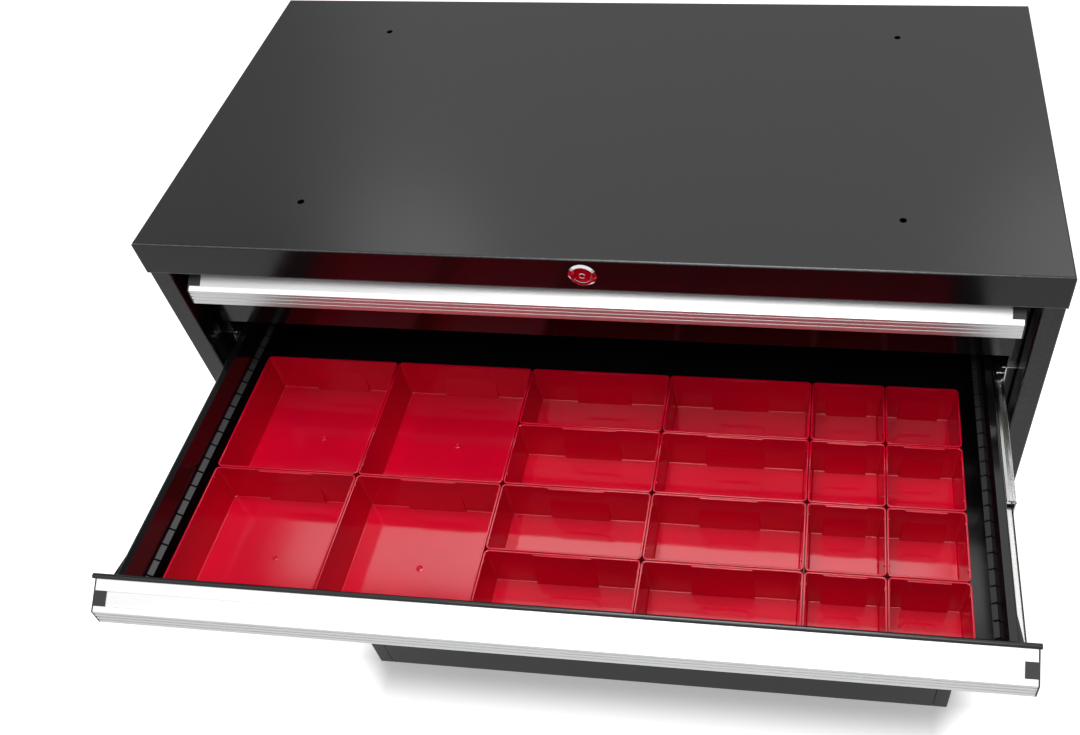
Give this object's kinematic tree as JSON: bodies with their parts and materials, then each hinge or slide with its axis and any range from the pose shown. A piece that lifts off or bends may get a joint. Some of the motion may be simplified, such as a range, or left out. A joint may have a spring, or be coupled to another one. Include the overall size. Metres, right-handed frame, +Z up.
{
  "type": "tool cabinet",
  "caption": "Low tool cabinet with full-width drawers on telescopic slides, aluminium grip rails with label channels, red parts bins in the open drawer and a central lock.",
  "frame": {"origin": "centre of the footprint on the floor, on the underside of the base frame", "axes": "+X to the right as seen from the front, +Y to the back, +Z up; the drawers open along -Y"},
  "size_m": [0.9, 0.762, 0.913],
  "materials": {
    "cabinet_paint": "satin dark grey powder coat",
    "drawer_paint": "glossy black enamel",
    "zinc_steel": "bright zinc-plated steel",
    "aluminium": "natural anodised extrusion",
    "black_plastic": "fine matt moulded plastic",
    "label_card": "smooth white card under a clear strip",
    "bin_plastic": "glossy red injection moulding",
    "chrome": "polished chrome plate"
  },
  "bodies": {
    "cabinet": {"top_cap": "cabinet_paint", "left_side": "cabinet_paint", "right_side": "cabinet_paint", "back_panel": "cabinet_paint", "base_frame": "cabinet_paint", "base_panel": "cabinet_paint", "slide_uprights": "cabinet_paint", "slide_outer_members": "zinc_steel", "lock_barrel": "chrome", "lock_nut": "zinc_steel", "lock_guides": "zinc_steel"},
    "drawer_1": {"drawer_1_tray": "drawer_paint", "drawer_1_front": "drawer_paint", "drawer_1_handle": "aluminium", "drawer_1_end_caps": "black_plastic", "drawer_1_label_strip": "label_card", "drawer_1_inner_slides": "zinc_steel"},
    "runner_1": {"drawer_1_middle_slides": "zinc_steel"},
    "drawer_2": {"drawer_2_tray": "drawer_paint", "drawer_2_front": "drawer_paint", "drawer_2_handle": "aluminium", "drawer_2_end_caps": "black_plastic", "drawer_2_label_strip": "label_card", "drawer_2_inner_slides": "zinc_steel", "large_bins": "bin_plastic", "medium_bins": "bin_plastic", "small_bins": "bin_plastic"},
    "runner_2": {"drawer_2_middle_slides": "zinc_steel"},
    "drawer_3": {"drawer_3_tray": "drawer_paint", "drawer_3_front": "drawer_paint", "drawer_3_handle": "aluminium", "drawer_3_end_caps": "black_plastic", "drawer_3_label_strip": "label_card", "drawer_3_inner_slides": "zinc_steel"},
    "runner_3": {"drawer_3_middle_slides": "zinc_steel"},
    "drawer_4": {"drawer_4_tray": "drawer_paint", "drawer_4_front": "drawer_paint", "drawer_4_handle": "aluminium", "drawer_4_end_caps": "black_plastic", "drawer_4_label_strip": "label_card", "drawer_4_inner_slides": "zinc_steel"},
    "runner_4": {"drawer_4_middle_slides": "zinc_steel"},
    "drawer_5": {"drawer_5_tray": "drawer_paint", "drawer_5_front": "drawer_paint", "drawer_5_handle": "aluminium", "drawer_5_end_caps": "black_plastic", "drawer_5_label_strip": "label_card", "drawer_5_inner_slides": "zinc_steel"},
    "runner_5": {"drawer_5_middle_slides": "zinc_steel"},
    "drawer_6": {"drawer_6_tray": "drawer_paint", "drawer_6_front": "drawer_paint", "drawer_6_handle": "aluminium", "drawer_6_end_caps": "black_plastic", "drawer_6_label_strip": "label_card", "drawer_6_inner_slides": "zinc_steel"},
    "runner_6": {"drawer_6_middle_slides": "zinc_steel"},
    "lock": {"lock_plug": "chrome", "lock_shaft": "zinc_steel", "lock_crank": "zinc_steel"},
    "locking_bar": {"lock_bar": "zinc_steel"}
  },
  "joints": [
    {"name": "drawer_1_slide", "type": "slide", "parent": "cabinet", "child": "drawer_1", "axis": [0, -1, 0], "range_m": [0, 0.4]},
    {"name": "runner_1_slide", "type": "slide", "parent": "cabinet", "child": "runner_1", "axis": [0, -1, 0], "range_m": [0, 0.2]},
    {"name": "drawer_2_slide", "type": "slide", "parent": "cabinet", "child": "drawer_2", "axis": [0, -1, 0], "range_m": [-0.309, 0.091]},
    {"name": "runner_2_slide", "type": "slide", "parent": "cabinet", "child": "runner_2", "axis": [0, -1, 0], "range_m": [-0.1545, 0.0455]},
    {"name": "drawer_3_slide", "type": "slide", "parent": "cabinet", "child": "drawer_3", "axis": [0, -1, 0], "range_m": [0, 0.4]},
    {"name": "runner_3_slide", "type": "slide", "parent": "cabinet", "child": "runner_3", "axis": [0, -1, 0], "range_m": [0, 0.2]},
    {"name": "drawer_4_slide", "type": "slide", "parent": "cabinet", "child": "drawer_4", "axis": [0, -1, 0], "range_m": [0, 0.4]},
    {"name": "runner_4_slide", "type": "slide", "parent": "cabinet", "child": "runner_4", "axis": [0, -1, 0], "range_m": [0, 0.2]},
    {"name": "drawer_5_slide", "type": "slide", "parent": "cabinet", "child": "drawer_5", "axis": [0, -1, 0], "range_m": [0, 0.4]},
    {"name": "runner_5_slide", "type": "slide", "parent": "cabinet", "child": "runner_5", "axis": [0, -1, 0], "range_m": [0, 0.2]},
    {"name": "drawer_6_slide", "type": "slide", "parent": "cabinet", "child": "drawer_6", "axis": [0, -1, 0], "range_m": [0, 0.4]},
    {"name": "runner_6_slide", "type": "slide", "parent": "cabinet", "child": "runner_6", "axis": [0, -1, 0], "range_m": [0, 0.2]},
    {"name": "lock_turn", "type": "hinge", "parent": "cabinet", "child": "lock", "pos_m": [0, -0.225, 0.8935], "axis": [0, -1, 0], "range_deg": [0, 90]},
    {"name": "locking_bar_lift", "type": "slide", "parent": "cabinet", "child": "locking_bar", "axis": [0, 0, 1], "range_m": [0, 0.009]}
  ],
  "couplings": [
    {"joint": "runner_1_slide", "follows": "drawer_1_slide", "ratio": 0.5},
    {"joint": "runner_2_slide", "follows": "drawer_2_slide", "ratio": 0.5},
    {"joint": "runner_3_slide", "follows": "drawer_3_slide", "ratio": 0.5},
    {"joint": "runner_4_slide", "follows": "drawer_4_slide", "ratio": 0.5},
    {"joint": "runner_5_slide", "follows": "drawer_5_slide", "ratio": 0.5},
    {"joint": "runner_6_slide", "follows": "drawer_6_slide", "ratio": 0.5},
    {"joint": "lock_turn", "follows": "locking_bar_lift", "rad_per_m": 174.53}
  ]
}
